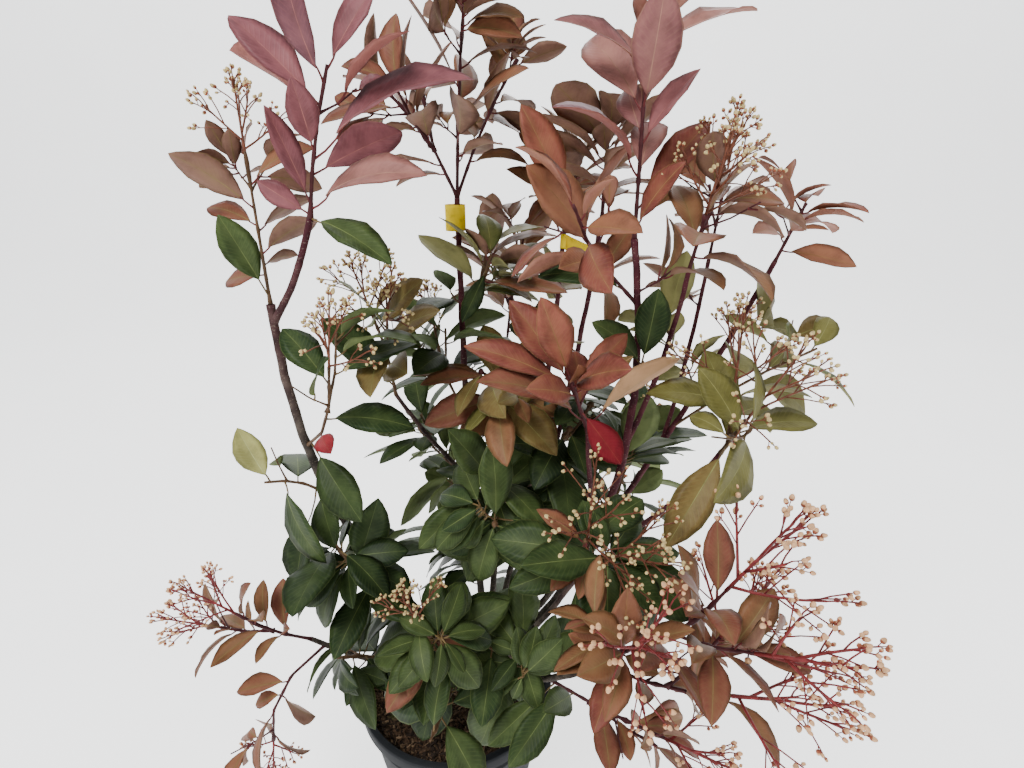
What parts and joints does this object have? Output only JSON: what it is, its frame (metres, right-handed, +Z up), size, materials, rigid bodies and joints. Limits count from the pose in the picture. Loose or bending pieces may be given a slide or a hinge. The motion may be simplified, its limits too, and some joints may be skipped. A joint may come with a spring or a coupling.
{
  "type": "potted photinia",
  "caption": "Bushy evergreen shrub with red young leaves and flower heads on several stems from one trunk, in a round pot.",
  "frame": {"origin": "middle of the pot's flat underside, on the surface that it stands on", "axes": "+Z up along the pot's axis, +X to the right and +Y to the back, away from the viewer of the picture"},
  "size_m": [0.8199, 0.642, 1.1496],
  "materials": {
    "pot_plastic": "satin",
    "potting_mix": "matte",
    "bark": "matte",
    "tag_plastic": "satin",
    "wine_leaves": "satin",
    "rose_leaves": "satin",
    "coral_leaves": "satin",
    "bronze_leaves": "satin",
    "olive_leaves": "satin",
    "green_leaves": "satin",
    "deep_green_leaves": "satin"
  },
  "bodies": {
    "root": {"pot": "pot_plastic", "potting_mix": "potting_mix", "trunk": "bark", "stem_left": "bark", "stem_centre": "bark", "stem_back_right": "bark", "stem_middle": "bark", "stem_right": "bark", "stem_far_right": "bark", "stem_front_right": "bark", "stem_front": "bark", "stem_low_left": "bark", "stem_back": "bark", "bough_left_leader": "bark", "bough_inner_left": "bark", "bough_coral": "bark", "bough_right_flower": "bark", "bough_far_top": "bark", "bough_right_low": "bark", "tag_centre": "tag_plastic", "tag_right": "tag_plastic", "leader_left": "wine_leaves", "flower_left": "olive_leaves", "flower_left_inner": "green_leaves", "spray_left_outer": "green_leaves", "spray_left_low": "deep_green_leaves", "flower_inner_left": "olive_leaves", "leader_centre": "bronze_leaves", "top_centre_left": "bronze_leaves", "top_centre_right": "bronze_leaves", "spray_centre": "olive_leaves", "spray_centre_low": "deep_green_leaves", "top_back_right": "bronze_leaves", "top_middle": "bronze_leaves", "leader_right": "rose_leaves", "coral_upper": "coral_leaves", "flower_right": "bronze_leaves", "top_far": "bronze_leaves", "top_far_right": "coral_leaves", "spray_far_outer": "olive_leaves", "coral_middle": "coral_leaves", "bronze_middle": "bronze_leaves", "flower_right_low": "olive_leaves", "green_middle": "green_leaves", "green_inner": "deep_green_leaves", "flower_front": "green_leaves", "flower_near_top": "bronze_leaves", "flower_near_left": "bronze_leaves", "flower_near_right": "bronze_leaves", "flower_low_right": "bronze_leaves", "flower_low_left": "bronze_leaves", "flower_hanging": "bronze_leaves", "flower_front_left": "green_leaves", "foot_left": "deep_green_leaves", "foot_front": "deep_green_leaves", "foot_right": "green_leaves", "back_top": "bronze_leaves", "back_left": "green_leaves", "back_low": "deep_green_leaves", "back_right": "green_leaves"}
  },
  "joints": []
}
